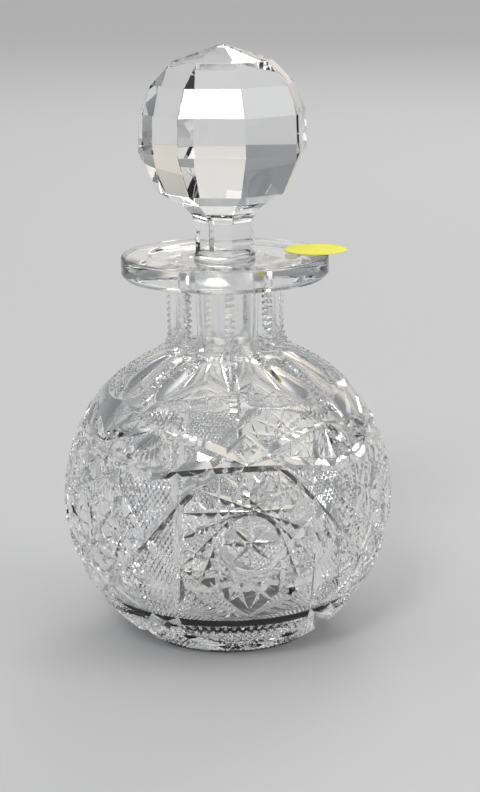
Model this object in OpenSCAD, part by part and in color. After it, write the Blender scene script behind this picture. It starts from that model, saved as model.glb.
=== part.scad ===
// Cut-glass decanter: a globe bottle with a flat lip, and a ground-in ball stopper.
// Millimetres, +Z up, the base on z = 0, and one of the cut panels facing -Y.

/* [Bottle blank] */
// Diameter of the globe
body_d = 100.8; // [94:0.2:108]
// Height of the globe's centre above the table
body_centre = 44; // [40:0.5:46]
// Glass thickness of the globe
wall = 7.5; // [6:0.5:8.5]
// Glass thickness under the floor of the cavity
floor_t = 8; // [6:0.5:12]
// Diameter of the neck over its ridges
neck_d = 35.6; // [32:0.2:38]
// Radius of the curve from the neck to the shoulder
neck_fillet = 6; // [4:0.5:9]
// Height of the lip's top face
lip_top = 118.1; // [112:0.5:128]
// Diameter of the lip
lip_d = 62.6; // [54:0.2:70]
// Thickness of the lip at its edge
lip_t = 7; // [5:0.5:9]
// Depth of the shallow dish in the lip's top
dish_depth = 0.8; // [0.4:0.1:1.5]

/* [Stopper] */
// Diameter of the ball over its corners
ball_d = 52.6; // [46:0.2:58]
// Height of the ball's top point above the lip
ball_top = 62.4; // [58:0.2:70]
// Number of sides of the ball and its stem
ball_sides = 8; // [6:2:12]
// Width of the stem over its corners
stem_d = 18; // [16:0.2:18.4]
// Height above the lip at which the stem starts to flare into the ball
stem_len = 10; // [7:0.5:12]
// Diameter of the ground plug at the lip
plug_d = 18.5; // [17:0.1:20]
// Length of the ground plug below the lip
plug_len = 26.6; // [20:0.2:26.8]
// Narrowing of the plug from the lip to its lower end
plug_taper = 1.5; // [0.8:0.1:2]
// Clearance between the plug and the bore, on the radius
ground_gap = 0.15; // [0.1:0.05:0.3]
// Turn of the stopper's corners from the front of the bottle
stopper_turn = 7; // [0:1:44]

/* [Cutting] */
// Number of cut panels round the globe
panels = 5; // [4:1:6]
// Half of the angle of the V wheel's edge
wheel_half_angle = 47; // [40:1:52]
// Depth of the wide mitre cuts that frame the panels
mitre_depth = 1.9; // [1.2:0.1:2.4]
// Depth of the mitre cuts round the foot and under it
foot_depth = 2.6; // [1.6:0.1:2.8]
// Number of points of the star in each panel
star_points = 16; // [12:2:18]
// Distance of the star's points from its centre, over the globe
star_reach = 23; // [20:0.5:25]
// Radius of the eye at the star's centre that its chords leave clear
star_eye = 10.3; // [8:0.1:12]
// Depth of the star's cuts
star_depth = 1.2; // [0.8:0.1:1.6]
// Number of rays of the small star in the eye
eye_rays = 8; // [6:1:12]
// Number of rays of each fan under the swags
fan_rays = 7; // [5:1:9]
// Depth of the crossed cuts between the panels and under them
hatch_depth = 0.7; // [0.4:0.1:0.9]
// Height between two crossed cuts, in degrees of latitude
hatch_step = 9; // [6:0.5:14]
// Number of rays of the star under the base
base_rays = 16; // [12:1:24]
// Depth of the rays under the base
base_depth = 1.2; // [0.6:0.1:1.8]
// Number of flutes round the neck and shoulder
flutes = 8; // [6:1:10]
// Depth of the flutes, under the flat between two ridges
flute_depth = 1.6; // [0.8:0.1:2.2]
// Width of the ridges between the flutes
ridge_w = 1.6; // [1:0.1:2.4]

/* [Lot sticker] */
// Diameter of the round paper sticker
sticker_d = 19; // [15:0.5:25]
// Thickness of the paper with its glue
sticker_t = 0.3; // [0.2:0.05:0.5]
// How far the sticker hangs past the lip's edge
sticker_overhang = 6; // [2:0.5:8]

/* [Hidden] */
$fn = 96;
body_r = body_d / 2;
neck_r = neck_d / 2;
lip_r = lip_d / 2;
cavity_r = body_r - wall;
plug_r = plug_d / 2;
plug_end = lip_top - plug_len;
plug_end_r = plug_r - plug_taper / 2;
plug_edge = 0.6;
bore_r = plug_end_r + ground_gap;
mouth_r = plug_r + ground_gap;
bore_fillet = 2.5;
floor_fillet = 10;
lip_edge = 0.5;
lip_under_edge = 1.5;
lip_under = 1;
dish_r = 0.75 * lip_r;
ball_r = ball_d / 2;
panel_turn = 360 / panels;
// how far a joint between two shapes overlaps, and how far a cutter stands out of the glass
seam = 0.02;
proud = 1.6;

// Latitudes, on the globe, of the points that the panels' cuts meet in
peak_lat = 34;
corner_lat = 35;
cross_lat = -2.5;
tip_lat = -31;
swag_lat = 24;
rail_lat = 20;
foot_lat = -34;
star_lat = -1.7;
// Start and end, as [azimuth, latitude], of the mitre that runs from the next panel's lower
// corner, under this panel, to the base
under_start = [panel_turn - 29, -33];
under_end = [-12, -57.6];
// Half width of the column between two panels, in degrees, and the rise of a leaning cut over it
column_half = panel_turn / 2 - 24.5;
column_rise = 18;
// Cuts of one lean, under each panel, in the band above the base, and how far they lean
band_cuts = 5;
band_lean = 18;
// Distance of the upright cuts from a panel's middle plane
upright_x = 20.5;
// Latitude at which the flutes end, and their turn from the front of the bottle
flute_end_lat = 42;
flute_turn = -3.5;
// Latitudes of the rings of corners on the stopper's ball
ball_lats = [-40, -10.5, 14, 34, 54.5];

// ---- directions and points on the globe ----

// azimuth 0 faces -Y and runs toward +X, latitude 0 is the globe's equator
function dir(az, lat) = [sin(az) * cos(lat), -cos(az) * cos(lat), sin(lat)];
function unit(v) = v / norm(v);
function between(u, v) = acos(min(1, max(-1, unit(u) * unit(v))));
function slerp(u, v, t) =
    let(a = between(u, v))
    (u * sin((1 - t) * a) + v * sin(t * a)) / sin(a);
// a direction at angle a from the direction c, turned by t about it
function around(c, a, t) =
    let(east = unit(cross([0, 0, 1], c)), north = cross(c, east))
    c * cos(a) + (east * cos(t) + north * sin(t)) * sin(a);
// the angle that a length on the globe's surface spans
function arc(length) = length / body_r * 180 / PI;

// ---- wheel cuts, all placed from the globe's centre ----

// one straight run of the V wheel between two root points, as high as the cutter needs
module v_cut(p, q, height) {
    along = unit(q - p);
    mid = (p + q) / 2;
    out = unit(mid - along * (mid * along));
    side = cross(along, out);
    extra = height * tan(between(p, q) / 2);
    half_width = height * tan(wheel_half_angle);
    start = p - along * extra;
    multmatrix([
        [out.x, side.x, along.x, start.x],
        [out.y, side.y, along.y, start.y],
        [out.z, side.z, along.z, start.z],
    ])
        linear_extrude(norm(q - p) + 2 * extra)
            polygon([[0, 0], [height, -half_width], [height, half_width]]);
}

// straight runs through a list of directions, each with its own depth under the surface
module v_path(dirs, depths) {
    for (i = [0:len(dirs) - 2])
        v_cut(
            dirs[i] * (body_r - depths[i]),
            dirs[i + 1] * (body_r - depths[i + 1]),
            max(depths) + proud
        );
}

// a cut along the great circle from u to v
module mitre(u, v, depths) {
    runs = len(depths) - 1;
    v_path([for (i = [0:runs]) slerp(u, v, i / runs)], depths);
}

// the wide cuts of half a panel, on the side s, that frame it and cross into the next one
module half_frame(s) {
    d = mitre_depth;
    f = foot_depth;
    edge = s * panel_turn / 2;
    crossing = dir(edge, cross_lat);
    mitre(dir(0, peak_lat), crossing, [0.5, d, d, d]);
    mitre(crossing, dir(0, tip_lat), [d, d, f, 0.5]);
    mitre(dir(edge, corner_lat), dir(0, swag_lat), [0.3, d, d]);
    mitre(dir(edge, rail_lat), dir(0, swag_lat), [d, d, d]);
    v_path([for (i = [0:2]) dir(edge * i / 2, foot_lat)], [f, f, f]);
    mitre(
        dir(s * under_start[0], under_start[1]),
        dir(s * under_end[0], under_end[1]),
        [0.6, f, f, f, 0.4]
    );
    // an upright cut keeps its distance from the panel's middle plane
    v_path(
        [for (lat = [-40, -20, 0, 18, 33]) dir(s * asin(upright_x / body_r / cos(lat)), lat)],
        [d, d, d, d, 0.2]
    );
}

// a star of long chords that leave an eye clear, and a small star of rays in the eye
module hobstar() {
    c = dir(0, star_lat);
    reach = arc(star_reach);
    step = 360 / star_points;
    points_over = 2 * round(acos(tan(arc(star_eye)) / tan(reach)) / step);
    for (i = [0:star_points - 1])
        mitre(
            around(c, reach, i * step),
            around(c, reach, (i + points_over) * step),
            [0, star_depth, star_depth, 0]
        );
    for (i = [0:eye_rays - 1])
        v_path([c, around(c, arc(0.8 * star_eye), i * 360 / eye_rays)], [0.9, 0]);
}

// rays that spread down from the point where two swags meet
module fan() {
    c = dir(panel_turn / 2, corner_lat);
    for (i = [0:fan_rays - 1]) {
        turn = -90 + (i - (fan_rays - 1) / 2) * 13;
        v_path([around(c, 2.5, turn), around(c, 14, turn)], [0.7, 0]);
    }
}

// parallel cuts across the column at a panel's edge and across the band above the base, all
// leaning to one side
module leaning_cuts(lean) {
    h = hatch_depth;
    mid = panel_turn / 2;
    for (lat = [foot_lat - column_rise + hatch_step : hatch_step : rail_lat + column_rise]) {
        low = max(-1, (foot_lat + 2 - lat) / column_rise);
        high = min(1, (rail_lat - 2 - lat) / column_rise);
        if (high - low > 0.5)
            mitre(
                dir(mid + lean * column_half * low, lat + column_rise * low),
                dir(mid + lean * column_half * high, lat + column_rise * high),
                [0.2, h, h, 0.2]
            );
    }
    for (i = [0:band_cuts - 1]) {
        az = (i + 0.5) * panel_turn / band_cuts;
        mitre(dir(az, foot_lat - 2.5), dir(az + lean * band_lean, -57), [0.2, h, h]);
    }
}

module base_star() {
    for (i = [0:base_rays - 1])
        rotate([0, 0, (i + 0.5) * 360 / base_rays]) {
            inner = [3, 0, -body_centre];
            deep = [14, 0, base_depth - body_centre];
            outer = [21, 0, -body_centre];
            v_cut(inner, deep, base_depth + proud);
            v_cut(deep, outer, base_depth + proud);
        }
}

// A flute's cutter is a loft down the neck, round the fillet and over the shoulder, where it
// narrows to a rounded end and runs out. Each station is [radius, height, out angle, share of
// full width] of a point on the blank's surface, and none is on the fillet's own two ends. The
// fillet's centre and end are as in ball_to_tube.
module flute() {
    x = neck_r + neck_fillet;
    y = sqrt(pow(body_r + neck_fillet, 2) - x * x);
    fillet_end = asin(y / (body_r + neck_fillet));
    fillet = [for (i = [0:3]) let(a = fillet_end * (i + 0.1) / 3.2)
        [x - neck_fillet * cos(a), y - neck_fillet * sin(a), a, 1]];
    shoulder = [for (i = [1:6]) let(t = i / 6, a = fillet_end + (flute_end_lat - fillet_end) * t)
        [body_r * cos(a), body_r * sin(a), a, max(0.15, sqrt(1 - pow(t, 4)))]];
    stations = concat(
        [[neck_r, lip_top - lip_t - lip_under - body_centre, 0, 1]],
        fillet,
        shoulder
    );
    across = [-1, -0.5, 0, 0.5, 1];
    n = len(across) + 2;
    points = [for (s = stations)
        let(
            half = s[3] * (s[0] * sin(180 / flutes) - ridge_w / 2),
            drop = half * half * cos(s[2]) / 2 / s[0],
            lift = 0.6 * pow(1 - s[3], 2)
        )
        for (j = [0:n - 1])
            let(
                u = j < len(across) ? across[j] : (j == len(across) ? 1 : -1),
                floor = lift - drop - s[3] * flute_depth * (1 - u * u),
                out = j < len(across) ? floor : proud
            )
            [s[0] + out * cos(s[2]), u * half, s[1] + out * sin(s[2])]];
    m = len(stations);
    polyhedron(points, concat(
        [for (k = [0:m - 2], j = [0:n - 1])
            [k * n + j, (k + 1) * n + j, (k + 1) * n + (j + 1) % n, k * n + (j + 1) % n]],
        [[for (j = [0:n - 1]) j]],
        [[for (j = [n - 1:-1:0]) (m - 1) * n + j]]
    ));
}

// ---- the bottle ----

// what rounds the inner corner between a ball, about the origin, and an upright tube
module ball_to_tube(r, tube_r, fillet) {
    x = tube_r + fillet;
    y = sqrt(pow(r + fillet, 2) - x * x);
    k = r / (r + fillet);
    difference() {
        polygon([[0, y * k - fillet], [x * k, y * k - seam], [x * k, y * k], [x, y], [0, y]]);
        translate([x, y])
            circle(fillet);
    }
}

module blank_profile() {
    under = lip_top - lip_t;
    intersection() {
        translate([0, body_centre])
            circle(body_r);
        square([body_r, body_centre + body_r]);
    }
    translate([0, body_centre]) {
        ball_to_tube(body_r, neck_r, neck_fillet);
        square([neck_r, under - body_centre]);
    }
    polygon([
        [0, lip_top - dish_depth],
        [0, under - lip_under],
        [neck_r, under - lip_under],
        [lip_r - lip_under_edge, under],
        [lip_r, under + lip_under_edge],
        [lip_r, lip_top - lip_edge],
        [lip_r - lip_edge, lip_top],
        [dish_r, lip_top],
        [dish_r - 2 * dish_depth, lip_top - dish_depth],
    ]);
}

module cavity_profile() {
    centre_y = floor_t + floor_fillet;
    drop = body_centre - centre_y;
    floor_x = sqrt(pow(cavity_r - floor_fillet, 2) - drop * drop);
    join_y = body_centre - drop * cavity_r / (cavity_r - floor_fillet);
    shoulder_y = body_centre + cavity_r - bore_fillet;
    intersection() {
        translate([0, body_centre])
            circle(cavity_r);
        translate([0, join_y])
            square([cavity_r, 2 * cavity_r]);
    }
    // the floor and its rounded rim
    intersection() {
        translate([floor_x, centre_y])
            circle(floor_fillet);
        translate([floor_x - floor_fillet, floor_t])
            square([2 * floor_fillet, join_y - floor_t + seam]);
    }
    translate([0, floor_t])
        square([floor_x, join_y - floor_t + seam]);
    // the ground bore follows the plug with its clearance
    translate([0, body_centre])
        ball_to_tube(cavity_r, bore_r, bore_fillet);
    polygon([
        [0, shoulder_y],
        [bore_r, shoulder_y],
        [bore_r, plug_end],
        [mouth_r, lip_top],
        [0, lip_top],
    ]);
}

module bottle() {
    color("gainsboro")
        difference() {
            difference() {
                difference() {
                    rotate_extrude()
                        blank_profile();
                    translate([0, 0, body_centre])
                        for (k = [0:flutes - 1])
                            rotate([0, 0, flute_turn - 90 + (k + 0.5) * 360 / flutes])
                                flute();
                }
                translate([0, 0, body_centre])
                    for (k = [0:panels - 1])
                        rotate([0, 0, k * panel_turn])
                            for (s = [-1, 1])
                                half_frame(s);
                // the two leans are cut one after the other
                translate([0, 0, body_centre])
                    for (k = [0:panels - 1])
                        rotate([0, 0, k * panel_turn])
                            leaning_cuts(1);
                translate([0, 0, body_centre])
                    for (k = [0:panels - 1])
                        rotate([0, 0, k * panel_turn])
                            leaning_cuts(-1);
            }
            translate([0, 0, body_centre])
                for (k = [0:panels - 1])
                    rotate([0, 0, k * panel_turn]) {
                        hobstar();
                        fan();
                    }
            translate([0, 0, body_centre])
                base_star();
            rotate_extrude()
                cavity_profile();
        }
}

// ---- the stopper ----

// a ball of flat facets that flares out of a stem with as many sides, in rings of corners,
// each [radius over the corners, height above the lip]
module stopper_ball() {
    n = ball_sides;
    centre_y = ball_top - ball_r;
    stem_r = stem_d / 2;
    low_ring = [ball_r * cos(ball_lats[0]), centre_y + ball_r * sin(ball_lats[0])];
    flare = [for (i = [0:2]) [
        stem_r + (low_ring[0] - stem_r) * pow(i / 3, 1.7),
        stem_len + (low_ring[1] - stem_len) * i / 3,
    ]];
    ball = [for (lat = ball_lats) [ball_r * cos(lat), centre_y + ball_r * sin(lat)]];
    rings = concat([[stem_r, 0]], flare, ball);
    last = len(rings) - 1;
    points = concat(
        [for (ring = rings, i = [0:n - 1])
            [ring[0] * cos(360 * i / n), ring[0] * sin(360 * i / n), ring[1]]],
        [[0, 0, ball_top]]
    );
    sides = [for (j = [0:last - 1], i = [0:n - 1])
        [j * n + i, (j + 1) * n + i, (j + 1) * n + (i + 1) % n, j * n + (i + 1) % n]];
    top = [for (i = [0:n - 1]) [last * n + i, len(points) - 1, last * n + (i + 1) % n]];
    polyhedron(points, concat(sides, top, [[for (i = [0:n - 1]) i]]));
}

module stopper() {
    color("gainsboro") {
        translate([0, 0, lip_top])
            rotate([0, 0, stopper_turn - 90])
                stopper_ball();
        rotate_extrude()
            polygon([
                [0, plug_end],
                [plug_end_r - plug_edge, plug_end],
                [plug_end_r, plug_end + plug_edge],
                [plug_r, lip_top],
                [plug_r - plug_edge, lip_top + plug_edge],
                [0, lip_top + plug_edge],
            ]);
    }
}

// ---- the paper sticker on the lip ----

module lot_sticker() {
    color("yellow")
        translate([lip_r - sticker_d / 2 + sticker_overhang, 0, lip_top])
            cylinder(d = sticker_d, h = sticker_t);
}

bottle();
stopper();
lot_sticker();
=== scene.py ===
from math import acos, asin, atan2, ceil, cos, degrees, floor, log, pi, radians, sin, sqrt, tan

import bmesh
import bpy
from mathutils import Matrix, Vector


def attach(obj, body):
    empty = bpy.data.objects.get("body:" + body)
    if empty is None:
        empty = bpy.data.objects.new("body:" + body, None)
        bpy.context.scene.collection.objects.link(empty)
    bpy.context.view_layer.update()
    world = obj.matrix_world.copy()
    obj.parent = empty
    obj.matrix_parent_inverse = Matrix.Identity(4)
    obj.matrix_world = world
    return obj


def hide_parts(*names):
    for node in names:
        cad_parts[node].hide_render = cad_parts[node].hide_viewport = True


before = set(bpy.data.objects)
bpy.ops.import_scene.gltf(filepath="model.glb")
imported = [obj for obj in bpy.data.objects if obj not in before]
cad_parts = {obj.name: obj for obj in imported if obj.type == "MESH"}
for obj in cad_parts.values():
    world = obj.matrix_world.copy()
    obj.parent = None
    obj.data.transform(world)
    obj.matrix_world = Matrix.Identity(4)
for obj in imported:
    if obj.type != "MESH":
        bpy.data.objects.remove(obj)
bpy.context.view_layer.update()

scene = bpy.context.scene
scene.view_settings.view_transform = "Standard"

# ---- Table and light ----
# A plain pale table, a pale room that darkens overhead, and soft lamps like a small studio's.
# None of it belongs to the decanter.


class Tap:
    """A node's output that can be written in sums; every operator adds one Math node."""

    def __init__(self, tree, socket):
        self.tree = tree
        self.socket = socket

    def math(self, operation, *terms):
        node = self.tree.nodes.new("ShaderNodeMath")
        node.operation = operation
        for slot, value in zip(node.inputs, terms):
            put(self.tree, slot, value)
        return Tap(self.tree, node.outputs[0])

    def __add__(self, other):
        return self.math("ADD", self, other)

    def __radd__(self, other):
        return self.math("ADD", other, self)

    def __mul__(self, other):
        return self.math("MULTIPLY", self, other)

    def __rmul__(self, other):
        return self.math("MULTIPLY", other, self)

    def __gt__(self, other):
        return self.math("GREATER_THAN", self, other)

    def __lt__(self, other):
        return self.math("LESS_THAN", self, other)

    def root(self):
        return self.math("SQRT", self)

    def sine(self):
        return self.math("SINE", self)

    def bearing(self, north):
        return self.math("ARCTAN2", self, north)

    def smooth(self, low, high, to_low=0.0, to_high=1.0):
        node = self.tree.nodes.new("ShaderNodeMapRange")
        node.interpolation_type = "SMOOTHSTEP"
        for name, value in (("Value", self), ("From Min", low), ("From Max", high),
                            ("To Min", to_low), ("To Max", to_high)):
            put(self.tree, node.inputs[name], value)
        return Tap(self.tree, node.outputs["Result"])


def put(tree, slot, value):
    """Sets a socket, or links it where the value is a Tap."""
    if isinstance(value, Tap):
        tree.links.new(value.socket, slot)
    else:
        slot.default_value = value


class Finish:
    """A shader tree that is written from its last node back."""

    def __init__(self, tree):
        self.tree = tree
        tree.nodes.clear()

    def node(self, kind, settings=None, out=0, **values):
        made = self.tree.nodes.new(kind)
        for name, value in (settings or {}).items():
            if name == "stops":
                ramp = made.color_ramp.elements
                while len(ramp) < len(value):
                    ramp.new(0.5)
                for stop, (place, colour) in zip(ramp, value):
                    stop.position = place
                    stop.color = colour
            else:
                setattr(made, name, value)
        for name, value in values.items():
            wanted = name.replace("_", " ")
            slot = next(s for s in made.inputs
                        if s.enabled and wanted in (s.name, s.identifier.replace("_", " ")))
            put(self.tree, slot, value)
        return Tap(self.tree, made.outputs[out]) if made.outputs else None


def new_finish(name):
    material = bpy.data.materials.new(name)
    material.use_nodes = True
    return material, Finish(material.node_tree)


def placed(name, mesh, material=None):
    """A new object at the origin that holds the mesh."""
    made = bpy.data.objects.new(name, mesh)
    scene.collection.objects.link(made)
    if material:
        mesh.materials.append(material)
    return made


# camera: where it stands, how far it is turned, tipped and rolled
heading, pitch, roll = radians(7.684), radians(13.58), radians(-0.68)
forward = Vector((sin(heading) * cos(pitch), cos(heading) * cos(pitch), -sin(pitch)))
level = forward.cross(Vector((0, 0, 1))).normalized()
upright = level.cross(forward)
right = level * cos(roll) + upright * sin(roll)
upward = upright * cos(roll) - level * sin(roll)
camera = bpy.data.objects.new("camera", bpy.data.cameras.new("camera"))
camera.matrix_world = Matrix.Translation((-0.0762, -0.5951, 0.2188)) @ Matrix(
    (right, upward, -forward)
).transposed().to_4x4()
camera.data.lens = 91.7
camera.data.sensor_width = 36
scene.collection.objects.link(camera)
scene.camera = camera

# the table top is wide enough to fill every view
table_half = 40
table_mesh = bpy.data.meshes.new("table")
table_mesh.from_pydata(
    [(-table_half, -table_half, 0), (table_half, -table_half, 0),
     (table_half, table_half, 0), (-table_half, table_half, 0)],
    [], [(0, 1, 2, 3)])
table_finish, look = new_finish("table_finish")
bsdf = look.node("ShaderNodeBsdfPrincipled", Base_Color=(0.62, 0.62, 0.625, 1), Roughness=0.85,
                 Specular_IOR_Level=0.15)
look.node("ShaderNodeOutputMaterial", Surface=bsdf)
table = placed("table", table_mesh, table_finish)

# the room is dim low down and pale overhead, with three tall soft windows round the sides
world = bpy.data.worlds.new("room")
world.use_nodes = True
scene.world = world
look = Finish(world.node_tree)
way = look.node("ShaderNodeTexCoord", out=0)
split = look.node("ShaderNodeSeparateXYZ", Vector=way)
east, north, rise = (Tap(look.tree, split.socket.node.outputs[i]) for i in range(3))
room = look.node("ShaderNodeValToRGB", {"stops": [
    (0.0, (0.36, 0.365, 0.375, 1)),
    (0.28, (0.2, 0.205, 0.215, 1)),
    (0.62, (0.3, 0.305, 0.32, 1)),
    (0.82, (1.0, 1.0, 0.985, 1)),
]}, Fac=rise)
window = (3 * east.bearing(north) + 0.6).sine().smooth(0.25, 0.75)
window = window * rise.smooth(0.75, 0.4) * rise.smooth(-0.05, 0.12)
tone = look.node("ShaderNodeMix", {"data_type": "RGBA"}, out=2, Factor_Float=east.smooth(-0.4, 0.4),
                 A_Color=(0.68, 0.75, 0.84, 1), B_Color=(0.82, 0.76, 0.68, 1))
room = look.node("ShaderNodeMix", {"data_type": "RGBA"}, out=2, Factor_Float=window,
                 A_Color=room, B_Color=tone)
lit = look.node("ShaderNodeBackground", Color=room, Strength=1.0)
look.node("ShaderNodeOutputWorld", Surface=lit)


def lamp(name, place, aim, width, height, power):
    made = bpy.data.objects.new(name, bpy.data.lights.new(name, "AREA"))
    made.data.shape = "RECTANGLE"
    made.data.size = width
    made.data.size_y = height
    made.data.energy = power
    made.location = place
    made.rotation_euler = (Vector(aim) - Vector(place)).to_track_quat("-Z", "Y").to_euler()
    scene.collection.objects.link(made)


lamp("window", (-0.79, -1.69, 1.7), (0, 0, 0.12), 0.55, 0.55, 15.0)
lamp("fill", (1.6, -0.7, 1.2), (0, 0, 0.09), 0.7, 1.2, 5.0)
lamp("back", (0.7, 1.6, 1.5), (0, 0, 0.1), 1.0, 0.5, 8.0)

# light has to pass many faces of glass before it comes out again
scene.cycles.max_bounces = 24
scene.cycles.transmission_bounces = 24
scene.cycles.glossy_bounces = 8
scene.cycles.sample_clamp_indirect = 4.0

# ---- Bottle blank ----
# A thick colourless lead-glass bottle, blown and then turned: a globe, a short neck and a flat
# lip with a shallow dish. It is made here as one lathe shell, in and out.

mm = 0.001
globe_r = 50.4 * mm
globe_z = 44 * mm
wall = 7.5 * mm
floor_z = 8 * mm
neck_r = 17.8 * mm
neck_fillet = 6 * mm
lip_z = 118.1 * mm
lip_r = 31.3 * mm
lip_under_z = 111.1 * mm
neck_top_z = 110.1 * mm
lip_bevel = 1.5 * mm
lip_edge = 0.5 * mm
dish_r = 0.75 * lip_r
dish_z = 117.3 * mm
plug_end_z = 91.5 * mm
bore_r = 8.65 * mm
mouth_r = 9.4 * mm
bore_fillet = 2.5 * mm
floor_fillet = 10 * mm
turns = 128


def arc(centre, radius, start, end, count):
    """Points [r, z] on an arc, angles from the horizontal."""
    return [
        (centre[0] + radius * cos(a), centre[1] + radius * sin(a))
        for a in (radians(start + (end - start) * i / count) for i in range(count + 1))
    ]


def eased(corners, radius, count=4):
    """A line of [r, z] corners with each inner corner rounded."""
    line = [corners[0]]
    for before, at, after in zip(corners, corners[1:], corners[2:]):
        at = Vector(at)
        to_before, to_after = Vector(before) - at, Vector(after) - at
        reach = min(radius, to_before.length / 2.1, to_after.length / 2.1)
        start = at + to_before.normalized() * reach
        end = at + to_after.normalized() * reach
        for i in range(count + 1):
            t = i / count
            line.append(tuple(start * (1 - t) ** 2 + at * 2 * t * (1 - t) + end * t * t))
    line.append(corners[-1])
    return line


def tube_meets_ball(ball_r, tube_r, fillet):
    """The fillet's centre, as [r, height over the ball's centre], and its angle at the ball."""
    x = tube_r + fillet
    y = sqrt((ball_r + fillet) ** 2 - x * x)
    return x, y, degrees(atan2(y, x))


def turned(name, profile, count):
    """A closed shell turned round Z from [r, z] points that start and end on the axis."""
    bm = bmesh.new()
    rings = []
    for r, z in profile:
        if r < 1e-7:
            rings.append([bm.verts.new((0, 0, z))])
        else:
            rings.append([
                bm.verts.new((r * cos(turn), r * sin(turn), z))
                for turn in (2 * pi * (i + 0.37) / count for i in range(count))
            ])
    for low, high in zip(rings, rings[1:]):
        for i in range(count):
            j = (i + 1) % count
            loop = [low[i % len(low)], low[j % len(low)], high[j % len(high)], high[i % len(high)]]
            bm.faces.new(list(dict.fromkeys(loop)))
    bmesh.ops.recalc_face_normals(bm, faces=bm.faces)
    mesh = bpy.data.meshes.new(name)
    bm.to_mesh(mesh)
    bm.free()
    return mesh


x_out, y_out, shoulder_lat = tube_meets_ball(globe_r, neck_r, neck_fillet)
cavity_r = globe_r - wall
x_in, y_in, mouth_lat = tube_meets_ball(cavity_r, bore_r, bore_fillet)
base_lat = degrees(asin(-globe_z / globe_r))
base_r = globe_r * cos(radians(base_lat))
floor_rise = globe_z - floor_z - floor_fillet
floor_x = sqrt((cavity_r - floor_fillet) ** 2 - floor_rise**2)
floor_lat = degrees(atan2(-floor_rise, floor_x))

outside = (
    [(0, 0)]
    + arc((0, globe_z), globe_r, base_lat, shoulder_lat, 44)
    + arc((x_out, globe_z + y_out), neck_fillet, shoulder_lat - 180, -180, 6)[1:]
)
collar = eased([
    (neck_r, globe_z + y_out + 4 * mm),
    (neck_r, neck_top_z),
    (lip_r - lip_bevel, lip_under_z),
    (lip_r, lip_under_z + lip_bevel),
    (lip_r, lip_z - lip_edge),
    (lip_r - lip_edge, lip_z),
    (dish_r, lip_z),
    (dish_r - 2 * (lip_z - dish_z), dish_z),
    (mouth_r, dish_z),
    (bore_r, plug_end_z),
], 0.4 * mm)
inside = (
    arc((x_in, globe_z + y_in), bore_fillet, 180, 180 + mouth_lat, 5)
    + arc((0, globe_z), cavity_r, mouth_lat, floor_lat, 30)[1:]
    + arc((floor_x, globe_z - floor_rise), floor_fillet, floor_lat, -90, 8)[1:]
    + [(0, floor_z)]
)
blank = placed("bottle_blank", turned("bottle_blank", outside + collar + inside, turns))

# ---- Wheel cuts ----
# Every line on the glass is a V groove ground by a wheel. Each cutter here is a closed bar
# with a V edge; one tree takes a panel's cutters out of the blank, again and again round it.

V_half_angle = 47


def facing(azimuth, latitude):
    """The direction from the globe's centre; azimuth 0 faces -Y and runs toward +X."""
    a, b = radians(azimuth), radians(latitude)
    return Vector((sin(a) * cos(b), -cos(a) * cos(b), sin(b)))


def turned_about(centre, angle, turn):
    """The direction at an angle from a centre direction, turned by so much about it."""
    east = Vector((0, 0, 1)).cross(centre).normalized()
    north = centre.cross(east)
    a, t = radians(angle), radians(turn)
    return centre * cos(a) + (east * cos(t) + north * sin(t)) * sin(a)


def span(length):
    """The angle that a length on the globe's surface spans."""
    return degrees(length / globe_r)


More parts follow.
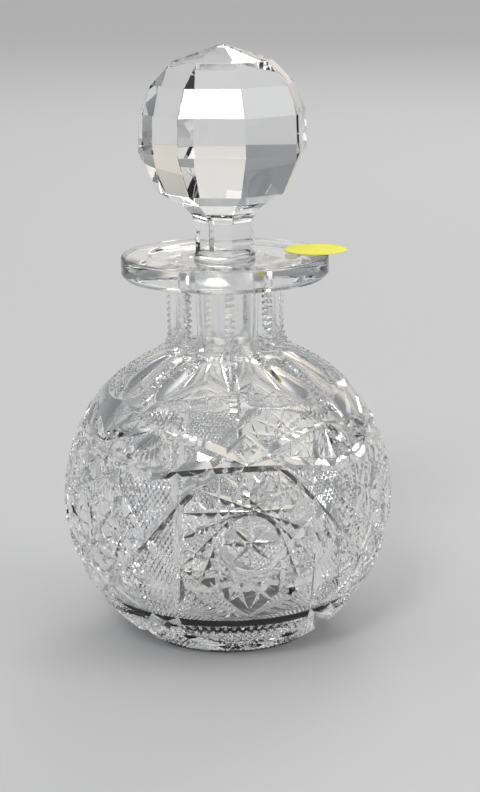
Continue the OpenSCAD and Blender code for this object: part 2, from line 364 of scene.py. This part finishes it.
class Cuts:
    """The cutters of one panel, gathered into one mesh of separate closed bars."""

    def __init__(self):
        self.points = []
        self.faces = []

    def bar(self, sections):
        """A closed bar through equal loops of points."""
        first, size = len(self.points), len(sections[0])
        for section in sections:
            self.points += section
        for k in range(len(sections) - 1):
            for j in range(size):
                a, b = first + k * size + j, first + k * size + (j + 1) % size
                self.faces.append((a, b, b + size, a + size))
        last = first + (len(sections) - 1) * size
        self.faces.append(tuple(first + j for j in reversed(range(size))))
        self.faces.append(tuple(last + j for j in range(size)))

    def groove(self, ways, depths, half_angle=V_half_angle, proud=0.9 * mm):
        """A V groove on the globe through directions, each with its own depth."""
        sections = []
        high = max(depths) + proud
        for i, way in enumerate(ways):
            along = (ways[min(i + 1, len(ways) - 1)] - ways[max(i - 1, 0)]).normalized()
            side = along.cross(way).normalized()
            root = way * (globe_r - depths[i])
            wide = high * tan(radians(half_angle))
            sections.append([root, root + way * high + side * wide, root + way * high - side * wide])
        self.bar(sections)

    def mitre(self, start, end, depths, steps=10, **how):
        """A groove along the great circle between two directions, its depth eased between."""
        whole = start.angle(end)
        ways, deep = [], []
        for i in range(steps + 1):
            t = i / steps
            ways.append((start * sin((1 - t) * whole) + end * sin(t * whole)) / sin(whole))
            place = t * (len(depths) - 1)
            k = min(int(place), len(depths) - 2)
            share = place - k
            share = share * share * (3 - 2 * share)
            deep.append(depths[k] * (1 - share) + depths[k + 1] * share)
        self.groove(ways, deep, **how)

    def hatch(self, corners, turn, step, depth, half_angle=45, shift=0.0):
        """Fine parallel grooves at one turn from level, over a region with these corners."""
        centre = sum(corners, Vector()).normalized()
        east = Vector((0, 0, 1)).cross(centre).normalized()
        north = centre.cross(east)
        t = radians(turn)
        along, across = east * cos(t) + north * sin(t), north * cos(t) - east * sin(t)
        flat = [(globe_r * p.dot(along) / p.dot(centre), globe_r * p.dot(across) / p.dot(centre))
                for p in corners]
        low, high = min(p[1] for p in flat), max(p[1] for p in flat)
        for k in range(ceil(low / step - shift), floor(high / step - shift) + 1):
            line = (k + shift) * step
            hits = sorted(
                a[0] + (b[0] - a[0]) * (line - a[1]) / (b[1] - a[1])
                for a, b in zip(flat, flat[1:] + flat[:1])
                if (a[1] - line) * (b[1] - line) < 0
            )
            for start, end in zip(hits[::2], hits[1::2]):
                if end - start < 1.3 * step:
                    continue
                count = max(2, ceil((end - start) / (4 * mm)))
                ways = [(centre * globe_r + along * (start + (end - start) * i / count) + across * line)
                        .normalized() for i in range(count + 1)]
                self.groove(ways, [depth * 0.3] + [depth] * (count - 1) + [depth * 0.3],
                            half_angle, 0.35 * mm)

    def object(self, name, lift=globe_z):
        """A spare object that holds the cutters, raised to the globe's centre."""
        mesh = bpy.data.meshes.new(name)
        mesh.from_pydata([p + Vector((0, 0, lift)) for p in self.points], [], self.faces)
        bm = bmesh.new()
        bm.from_mesh(mesh)
        bmesh.ops.triangulate(bm, faces=bm.faces)
        bmesh.ops.recalc_face_normals(bm, faces=bm.faces)
        bm.to_mesh(mesh)
        bm.free()
        return placed(name, mesh)


def cutting_tree():
    """Takes an object's closed bars out of the glass, repeated evenly round Z."""
    tree = bpy.data.node_groups.new("wheel_cutting", "GeometryNodeTree")
    face = tree.interface
    face.new_socket("Glass", in_out="INPUT", socket_type="NodeSocketGeometry")
    face.new_socket("Cutters", in_out="INPUT", socket_type="NodeSocketObject")
    face.new_socket("Times Round", in_out="INPUT", socket_type="NodeSocketInt")
    face.new_socket("Finish", in_out="INPUT", socket_type="NodeSocketMaterial")
    face.new_socket("Glass", in_out="OUTPUT", socket_type="NodeSocketGeometry")
    new, link = tree.nodes.new, tree.links.new
    given = new("NodeGroupInput")
    bars = new("GeometryNodeObjectInfo")
    link(given.outputs["Cutters"], bars.inputs["Object"])
    island = new("GeometryNodeInputMeshIsland")
    split = new("GeometryNodeSplitToInstances")
    split.domain = "FACE"
    link(bars.outputs["Geometry"], split.inputs["Geometry"])
    link(island.outputs["Island Index"], split.inputs["Group ID"])
    start, end = new("GeometryNodeRepeatInput"), new("GeometryNodeRepeatOutput")
    start.pair_with_output(end)
    link(given.outputs["Times Round"], start.inputs["Iterations"])
    link(given.outputs["Glass"], start.inputs["Geometry"])
    share = new("ShaderNodeMath")
    share.operation = "DIVIDE"
    share.inputs[0].default_value = 2 * pi
    link(given.outputs["Times Round"], share.inputs[1])
    turn = new("ShaderNodeMath")
    turn.operation = "MULTIPLY"
    link(start.outputs["Iteration"], turn.inputs[0])
    link(share.outputs[0], turn.inputs[1])
    axis = new("ShaderNodeCombineXYZ")
    link(turn.outputs[0], axis.inputs["Z"])
    swing = new("GeometryNodeTransform")
    link(split.outputs["Instances"], swing.inputs["Geometry"])
    link(axis.outputs[0], swing.inputs["Rotation"])
    cut = new("GeometryNodeMeshBoolean")
    cut.operation = "DIFFERENCE"
    cut.solver = "MANIFOLD"
    link(start.outputs["Geometry"], cut.inputs["Mesh 1"])
    link(swing.outputs["Geometry"], cut.inputs["Mesh 2"])
    link(cut.outputs["Mesh"], end.inputs["Geometry"])
    real = new("GeometryNodeRealizeInstances")
    link(end.outputs["Geometry"], real.inputs["Geometry"])
    coat = new("GeometryNodeSetMaterial")
    link(real.outputs["Geometry"], coat.inputs["Geometry"])
    link(given.outputs["Finish"], coat.inputs["Material"])
    out = new("NodeGroupOutput")
    link(coat.outputs["Geometry"], out.inputs[0])
    return tree


cutting = cutting_tree()


def cut_with(glass, cutters, times, finish):
    """Adds one round of cutting to the glass, its inputs set by the sockets' identifiers."""
    round_of = glass.modifiers.new(cutters.name, "NODES")
    sockets = {s.name: s.identifier for s in cutting.interface.items_tree if s.in_out == "INPUT"}
    round_of.node_group = cutting
    round_of[sockets["Cutters"]] = cutters
    round_of[sockets["Times Round"]] = times
    round_of[sockets["Finish"]] = finish


# ---- Panels ----
# Five panels go round the globe. Wide mitres frame each one, a sixteen-pointed star fills it,
# and fine crossed grooves fill the columns between the panels and the band above the base.

panels = 5
half_turn = 36
mitre_d = 1.9 * mm
foot_d = 2.6 * mm
peak_lat, corner_lat, cross_lat, tip_lat = 34, 35, -2.5, -31
swag_lat, rail_lat, foot_lat, star_lat = 24, 20, -34, -1.7
column_x = 20.5 * mm

cuts = Cuts()
for side in (-1, 1):
    edge = side * half_turn
    crossing = facing(edge, cross_lat)
    cuts.mitre(facing(0, peak_lat), crossing, [0.5 * mm, mitre_d, mitre_d, mitre_d])
    cuts.mitre(crossing, facing(0, tip_lat), [mitre_d, mitre_d, foot_d, 0.5 * mm])
    cuts.mitre(facing(edge, corner_lat), facing(0, swag_lat), [0.3 * mm, mitre_d, mitre_d])
    cuts.mitre(facing(edge, rail_lat), facing(0, swag_lat), [mitre_d, mitre_d, mitre_d])
    cuts.groove([facing(edge * i / 8, foot_lat) for i in range(9)], [foot_d] * 9)
    cuts.mitre(facing(side * 43, -33), facing(side * -12, -57.6),
               [0.6 * mm, foot_d, foot_d, foot_d, 0.4 * mm])
    lats = [-42 + 76 * i / 14 for i in range(15)]
    cuts.groove(
        [facing(side * degrees(asin(column_x / globe_r / cos(radians(lat)))), lat) for lat in lats],
        [mitre_d * min(1, (34 - lat) / 16 + 0.05) for lat in lats],
    )

star = facing(0, star_lat)
star_reach, star_eye, star_d, points = span(23 * mm), span(10.3 * mm), 1.2 * mm, 16
chord = 2 * round(degrees(acos(tan(radians(star_eye)) / tan(radians(star_reach)))) / (360 / points))
for i in range(points):
    cuts.mitre(
        turned_about(star, star_reach, i * 360 / points),
        turned_about(star, star_reach, (i + chord) * 360 / points),
        [0, star_d, star_d, star_d, 0], steps=12,
    )
for i in range(8):
    cuts.mitre(star, turned_about(star, 0.8 * star_eye, i * 45), [0.9 * mm, 0.7 * mm, 0], steps=5)

corner = facing(half_turn, corner_lat)
for i in range(9):
    turn = -90 + (i - 4) * 11
    cuts.mitre(turned_about(corner, 2, turn), turned_about(corner, 15, turn),
               [0.7 * mm, 0.7 * mm, 0], steps=5)

# small fans rise from the panel's two lower corners, and crossed grooves fill what the star leaves
hatch_step = 1.45 * mm
hatch_d = 0.62 * mm
for side in (-1, 1):
    foot = facing(side * 28.5, -32.6)
    for i in range(9):
        turn = 90 + side * (8 + i * 9.5)
        cuts.mitre(turned_about(foot, 1.5, turn), turned_about(foot, 11 + 1.6 * i, turn),
                   [0.6 * mm, 0.75 * mm, 0.7 * mm, 0], steps=6)
    for turn in (45, 135):
        cuts.hatch([facing(side * 23.2, -23), facing(side * 23.5, -14), facing(side * 17, -20.5)],
                   turn, hatch_step, 0.55 * mm)
        cuts.hatch([facing(side * 22.6, 14), facing(side * 22.2, 17.5), facing(side * 12, 20.5),
                    facing(side * 16, 16.5)], turn, hatch_step, 0.55 * mm)

# the column between two panels is crossed by the frame's mitres
column = [facing(25, -33), facing(24.4, -15), facing(24.4, 12), facing(25.5, 19),
          facing(46.5, 19), facing(47.6, 12), facing(47.6, -15), facing(47, -33)]
# the gap over it lies between the swags and the ends of the flutes
gap = [facing(24, 37.4), facing(36, 36.2), facing(48, 37.4), facing(44, 41.2), facing(28, 41.2)]
for turn in (58, 122):
    cuts.hatch(column, turn, hatch_step, hatch_d)
    cuts.hatch(gap, turn, hatch_step, 0.5 * mm)

# the band between the foot mitre and the base is crossed by lines that keep their lean
band_top, band_low = -36.2, -60.4
band_lines, band_lean, band_steps = 20, 0.75, 6


def rhumb(latitude):
    """How far round a line of lean one has gone, in degrees, at this latitude below the equator."""
    return degrees(log(tan(pi / 4 + radians(-latitude) / 2)))


for lean in (-band_lean, band_lean):
    for i in range(band_lines):
        first = (i + 0.5) * 360 / panels / band_lines
        lats = [band_top + (band_low - band_top) * j / band_steps for j in range(band_steps + 1)]
        ways = [facing(first + lean * (rhumb(lat) - rhumb(band_top)), lat) for lat in lats]
        cuts.groove(ways, [0.25 * mm] + [hatch_d] * band_steps, 45, 0.35 * mm)

panel_cuts = cuts.object("panel_cuts")

# ---- Neck ----
# Eight hollow flutes run down the neck and over the shoulder to rounded ends. The ridges left
# between them are notched across, from the lip to the shoulder.

flutes = 8
flute_turn = -3.5
flute_d = 1.6 * mm
ridge_w = 1.6 * mm
flute_end = 42
cuts = Cuts()
stations = [(neck_r, neck_top_z + 0.2 * mm - globe_z, 0, 1), (neck_r, y_out + 5 * mm, 0, 1)]
for i in range(8):
    a = shoulder_lat * (i + 0.1) / 7.2
    stations.append((x_out - neck_fillet * cos(radians(a)), y_out - neck_fillet * sin(radians(a)), a, 1))
for i in range(1, 19):
    t = (i / 18) ** 0.7
    a = shoulder_lat + (flute_end - shoulder_lat) * t
    stations.append((globe_r * cos(radians(a)), globe_r * sin(radians(a)), a,
                     max(0.04, sqrt(max(0, 1 - t**5)))))
across = [-1 + 2 * j / 14 for j in range(15)]
sections = []
for r, z, lean, share in stations:
    half = share * (r * sin(pi / flutes) - ridge_w / 2)
    drop = half * half * cos(radians(lean)) / 2 / r
    lift = 0.3 * mm * (1 - share) ** 2
    loop = [(u * half, lift - drop - share * flute_d * (1 - u * u)) for u in across]
    loop += [(half, 1.4 * mm), (-half, 1.4 * mm)]
    sections.append([
        Vector((r + out * cos(radians(lean)), y, z + out * sin(radians(lean)))) for y, out in loop
    ])
cuts.bar([[Matrix.Rotation(radians(flute_turn - 90 + 180 / flutes), 3, "Z") @ p for p in loop]
          for loop in sections])
flute_cuts = cuts.object("flute_cuts")

# the crest of one ridge, as the path that the notching wheel follows
crest = [(neck_r, neck_top_z - 0.6 * mm)]
crest += [(x_out - neck_fillet * cos(radians(shoulder_lat * i / 8)),
           globe_z + y_out - neck_fillet * sin(radians(shoulder_lat * i / 8))) for i in range(9)]
crest += [(globe_r * cos(radians(a)), globe_z + globe_r * sin(radians(a)))
          for a in (shoulder_lat + (flute_end + 1 - shoulder_lat) * i / 10 for i in range(1, 11))]
path = bpy.data.curves.new("ridge_crest", "CURVE")
path.dimensions = "3D"
line = path.splines.new("POLY")
line.points.add(len(crest) - 1)
for at, (r, z) in zip(line.points, crest):
    at.co = (r, 0, z, 1)
ridge_crest = placed("ridge_crest", path)
ridge_crest.data.transform(Matrix.Rotation(radians(flute_turn - 90), 4, "Z"))

# one notch is a V bar that lies across the ridge, its edge down in the glass; the path's frame
# has its Z axis toward the bottle's axis
notch_step = 1.8 * mm
notch_d = 0.95 * mm
notch = Cuts()
notch_half, notch_proud, notch_reach = 1.2 * mm, 0.35 * mm, 1.7 * mm
notch.bar([[Vector((x, 0, notch_d)), Vector((x, notch_half, -notch_proud)),
            Vector((x, -notch_half, -notch_proud))] for x in (-notch_reach, notch_reach)])
notch_bar = notch.object("notch_bar", lift=0)


def notching_tree():
    """Sets a copy of a bar across a path at every step."""
    tree = bpy.data.node_groups.new("ridge_notching", "GeometryNodeTree")
    face = tree.interface
    face.new_socket("Path", in_out="INPUT", socket_type="NodeSocketGeometry")
    face.new_socket("Bar", in_out="INPUT", socket_type="NodeSocketObject")
    face.new_socket("Step", in_out="INPUT", socket_type="NodeSocketFloat")
    face.new_socket("Finish", in_out="INPUT", socket_type="NodeSocketMaterial")
    face.new_socket("Cutters", in_out="OUTPUT", socket_type="NodeSocketGeometry")
    new, link = tree.nodes.new, tree.links.new
    given = new("NodeGroupInput")
    places = new("GeometryNodeCurveToPoints")
    places.mode = "LENGTH"
    link(given.outputs["Path"], places.inputs["Curve"])
    link(given.outputs["Step"], places.inputs["Length"])
    lie = new("FunctionNodeAxesToRotation")
    lie.primary_axis = "Y"
    lie.secondary_axis = "X"
    link(places.outputs["Tangent"], lie.inputs["Primary Axis"])
    link(places.outputs["Normal"], lie.inputs["Secondary Axis"])
    bar = new("GeometryNodeObjectInfo")
    link(given.outputs["Bar"], bar.inputs["Object"])
    copies = new("GeometryNodeInstanceOnPoints")
    link(places.outputs["Points"], copies.inputs["Points"])
    link(bar.outputs["Geometry"], copies.inputs["Instance"])
    link(lie.outputs["Rotation"], copies.inputs["Rotation"])
    real = new("GeometryNodeRealizeInstances")
    link(copies.outputs["Instances"], real.inputs["Geometry"])
    coat = new("GeometryNodeSetMaterial")
    link(real.outputs["Geometry"], coat.inputs["Geometry"])
    link(given.outputs["Finish"], coat.inputs["Material"])
    out = new("NodeGroupOutput")
    link(coat.outputs["Geometry"], out.inputs[0])
    return tree


notching = notching_tree()
sockets = {s.name: s.identifier for s in notching.interface.items_tree if s.in_out == "INPUT"}
along = ridge_crest.modifiers.new("notches", "NODES")
along.node_group = notching
along[sockets["Bar"]] = notch_bar
along[sockets["Step"]] = notch_step
depsgraph = bpy.context.evaluated_depsgraph_get()
notch_cuts = placed("notch_cuts", bpy.data.meshes.new_from_object(ridge_crest.evaluated_get(depsgraph)))

# ---- Base ----
# The flat base stands on its rim; inside the rim a star of long rays is cut up into the glass.

base_rays = 16
ray_d = 1.2 * mm
cuts = Cuts()
below = 0.9 * mm
wide = (ray_d + below) * tan(radians(V_half_angle))
cuts.bar([[Vector((r, 0, deep)), Vector((r, wide, -below)), Vector((r, -wide, -below))]
          for r, deep in ((3 * mm, -0.05 * mm), (14 * mm, ray_d), (21 * mm, -0.05 * mm))])
base_cuts = cuts.object("base_cuts", lift=0)
base_cuts.data.transform(Matrix.Rotation(pi / base_rays, 4, "Z"))

# ---- The finished bottle ----
# The cut glass is polished clear all over, but for the bore in the neck, which is finely
# ground so that the stopper seals. The base that it stands on is scuffed.

cut_glass, look = new_finish("cut_glass")
place = look.node("ShaderNodeTexCoord", out=3)
split = look.node("ShaderNodeSeparateXYZ", Vector=place)
x, y, z = (Tap(look.tree, split.socket.node.outputs[i]) for i in range(3))
radius = (x * x + y * y).root()
in_bore = (radius < mouth_r + 0.4 * mm) * (z > plug_end_z - 1 * mm)
polish_and_glint_noise = look.node("ShaderNodeTexNoise", Vector=place, Scale=55.0, Detail=4.0, Roughness=0.6)
grind = look.node("ShaderNodeTexNoise", Vector=place, Scale=2600.0, Detail=3.0, Roughness=0.7)
scuff = look.node("ShaderNodeTexNoise", Vector=place, Scale=420.0, Detail=5.0, Roughness=0.75)
worn = z.smooth(1.2 * mm, 0.0) * scuff.smooth(0.45, 0.7)
rough = 0.006 + 0.022 * polish_and_glint_noise.smooth(0.45, 0.75) + 0.1 * in_bore + 0.25 * worn
# painted prismatic glints: faint warm and cool tints spread at random stand in for the rainbow fire that
# the colourless cut glass throws in light; the same noise also varies the polish
painted_glint_tint = look.node("ShaderNodeMix", {"data_type": "RGBA"}, out=2, Factor_Float=polish_and_glint_noise,
                 A_Color=(0.985, 0.993, 1.0, 1), B_Color=(1.0, 0.997, 0.985, 1))
ripple = look.node("ShaderNodeBump", Strength=0.12, Distance=0.0004,
                   Height=polish_and_glint_noise * 0.5 + grind * in_bore * 0.25 + scuff * worn * 0.3)
bsdf = look.node("ShaderNodeBsdfPrincipled", Base_Color=painted_glint_tint, Roughness=rough, Normal=ripple,
                 Transmission_Weight=1.0, IOR=1.545)
look.node("ShaderNodeOutputMaterial", Surface=bsdf)

cut_with(blank, flute_cuts, flutes, cut_glass)
cut_with(blank, notch_cuts, flutes, cut_glass)
cut_with(blank, base_cuts, base_rays, cut_glass)
cut_with(blank, panel_cuts, panels, cut_glass)
depsgraph = bpy.context.evaluated_depsgraph_get()
bottle = placed("bottle_cut", bpy.data.meshes.new_from_object(blank.evaluated_get(depsgraph)))
bottle.data.shade_smooth()
bottle.data.set_sharp_from_angle(angle=radians(14))
for spare in (blank, panel_cuts, flute_cuts, notch_cuts, base_cuts, notch_bar, ridge_crest):
    bpy.data.objects.remove(spare)
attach(bottle, "bottle_body")
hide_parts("bottle")

# ---- Stopper ----
# One piece of the same glass: a ball cut in flat facets on an eight-sided stem, and below it
# a plug that is ground to fit the bore. The facets' edges are polished a little soft.

sides = 8
stem_r = 9 * mm
stem_z = 10 * mm
ball_r = 26.3 * mm
ball_z = lip_z + 62.4 * mm - ball_r
stopper_turn = 7
ring_lats = (-40, -10.5, 14, 34, 54.5)
low_r, low_z = ball_r * cos(radians(ring_lats[0])), ball_z + ball_r * sin(radians(ring_lats[0]))
rings = [(stem_r, lip_z)]
rings += [(stem_r + (low_r - stem_r) * (i / 3) ** 1.7,
           lip_z + stem_z + (low_z - lip_z - stem_z) * i / 3) for i in range(3)]
rings += [(ball_r * cos(radians(a)), ball_z + ball_r * sin(radians(a))) for a in ring_lats]
bm = bmesh.new()
loops = [[bm.verts.new((
    r * cos(radians(stopper_turn - 90 + 360 * i / sides)),
    r * sin(radians(stopper_turn - 90 + 360 * i / sides)), z)) for i in range(sides)]
    for r, z in rings]
tip = bm.verts.new((0, 0, ball_z + ball_r))
for low, high in zip(loops, loops[1:]):
    for i in range(sides):
        bm.faces.new((low[i], low[(i + 1) % sides], high[(i + 1) % sides], high[i]))
for i in range(sides):
    bm.faces.new((loops[-1][i], loops[-1][(i + 1) % sides], tip))
bm.faces.new(list(reversed(loops[0])))
bmesh.ops.bevel(bm, geom=bm.edges, offset=0.16 * mm, segments=2, profile=0.6, affect="EDGES",
                clamp_overlap=True)
bmesh.ops.triangulate(bm, faces=bm.faces)
bmesh.ops.recalc_face_normals(bm, faces=bm.faces)
ball_mesh = bpy.data.meshes.new("stopper_cut")
bm.to_mesh(ball_mesh)
bm.free()

plug_r, plug_end_r = 9.25 * mm, 8.5 * mm
plug = placed("plug", turned("plug", eased([
    (0, plug_end_z),
    (plug_end_r, plug_end_z),
    (plug_r, lip_z),
    (plug_r - 0.6 * mm, lip_z + 0.6 * mm),
    (0, lip_z + 0.6 * mm),
], 0.6 * mm), 96))

clear_glass, look = new_finish("stopper_glass")
place = look.node("ShaderNodeTexCoord", out=3)
split = look.node("ShaderNodeSeparateXYZ", Vector=place)
z = Tap(look.tree, split.socket.node.outputs[2])
ground = z < lip_z - 0.3 * mm
polish_and_glint_noise = look.node("ShaderNodeTexNoise", Vector=place, Scale=38.0, Detail=4.0, Roughness=0.6)
grind = look.node("ShaderNodeTexNoise", Vector=place, Scale=2600.0, Detail=3.0, Roughness=0.7)
rough = 0.004 + 0.018 * polish_and_glint_noise.smooth(0.5, 0.8) + 0.09 * ground
# painted prismatic glints: faint warm and cool tints spread at random stand in for the rainbow fire of
# the faceted ball; the same noise also varies the polish
painted_glint_tint = look.node("ShaderNodeMix", {"data_type": "RGBA"}, out=2, Factor_Float=polish_and_glint_noise,
                 A_Color=(0.985, 0.993, 1.0, 1), B_Color=(1.0, 0.997, 0.985, 1))
ripple = look.node("ShaderNodeBump", Strength=0.1, Distance=0.0004,
                   Height=polish_and_glint_noise * 0.5 + grind * ground * 0.25)
bsdf = look.node("ShaderNodeBsdfPrincipled", Base_Color=painted_glint_tint, Roughness=rough, Normal=ripple,
                 Transmission_Weight=1.0, IOR=1.545)
look.node("ShaderNodeOutputMaterial", Surface=bsdf)

ball = placed("stopper_ball", ball_mesh)
join = ball.modifiers.new("plug", "BOOLEAN")
join.operation = "UNION"
join.solver = "MANIFOLD"
join.object = plug
depsgraph = bpy.context.evaluated_depsgraph_get()
stopper = placed("stopper_cut", bpy.data.meshes.new_from_object(ball.evaluated_get(depsgraph)))
stopper.data.materials.clear()
stopper.data.materials.append(clear_glass)
stopper.data.shade_smooth()
stopper.data.set_sharp_from_angle(angle=radians(6))
for spare in (ball, plug):
    bpy.data.objects.remove(spare)
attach(stopper, "stopper_body")
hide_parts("stopper")

# ---- Lot sticker ----
# A round self-adhesive paper label, bare, stuck flat on the lip. Its free edge hangs past the
# lip and droops a little.

sticker_r = 9.5 * mm
sticker_t = 0.28 * mm
sticker_x = lip_r - sticker_r + 6 * mm
bm = bmesh.new()
rows, spokes = 9, 72
for top in (0, 1):
    loops = [[bm.verts.new((sticker_x, 0, lip_z + top * sticker_t))]]
    for k in range(1, rows + 1):
        r = sticker_r * k / rows
        loops.append([
            bm.verts.new((sticker_x + r * cos(turn), r * sin(turn), lip_z + top * sticker_t))
            for turn in (2 * pi * i / spokes for i in range(spokes))
        ])
    for low, high in zip(loops, loops[1:]):
        for i in range(spokes):
            j = (i + 1) % spokes
            face = [low[i % len(low)], high[i], high[j], low[j % len(low)]]
            bm.faces.new(list(dict.fromkeys(face)))
    if top:
        for i in range(spokes):
            j = (i + 1) % spokes
            bm.faces.new((under[i], under[j], loops[-1][j], loops[-1][i]))
    under = loops[-1]
droop = 4.5
for v in bm.verts:
    past = max(0, v.co.x - lip_r)
    v.co.z -= droop * past * past
bmesh.ops.recalc_face_normals(bm, faces=bm.faces)
sticker_mesh = bpy.data.meshes.new("lot_sticker_paper")
bm.to_mesh(sticker_mesh)
bm.free()

paper, look = new_finish("sticker_paper")
place = look.node("ShaderNodeTexCoord", out=3)
fibre = look.node("ShaderNodeTexNoise", Vector=place, Scale=900.0, Detail=6.0, Roughness=0.7)
patch = look.node("ShaderNodeTexNoise", Vector=place, Scale=120.0, Detail=2.0)
shade = (fibre * 0.6 + patch * 0.4).smooth(0.35, 0.65)
colour = look.node("ShaderNodeMix", {"data_type": "RGBA"}, out=2, Factor_Float=shade,
                   A_Color=(0.9, 0.84, 0.015, 1), B_Color=(1.0, 0.95, 0.03, 1))
grain = look.node("ShaderNodeBump", Strength=0.25, Distance=0.0001, Height=fibre)
bsdf = look.node("ShaderNodeBsdfPrincipled", Base_Color=colour, Roughness=0.48 + 0.12 * fibre,
                 Normal=grain)
look.node("ShaderNodeOutputMaterial", Surface=bsdf)
sticker = placed("lot_sticker_paper", sticker_mesh, paper)
sticker.data.shade_smooth()
sticker.data.set_sharp_from_angle(angle=radians(40))
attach(sticker, "bottle_body")
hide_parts("lot_sticker")
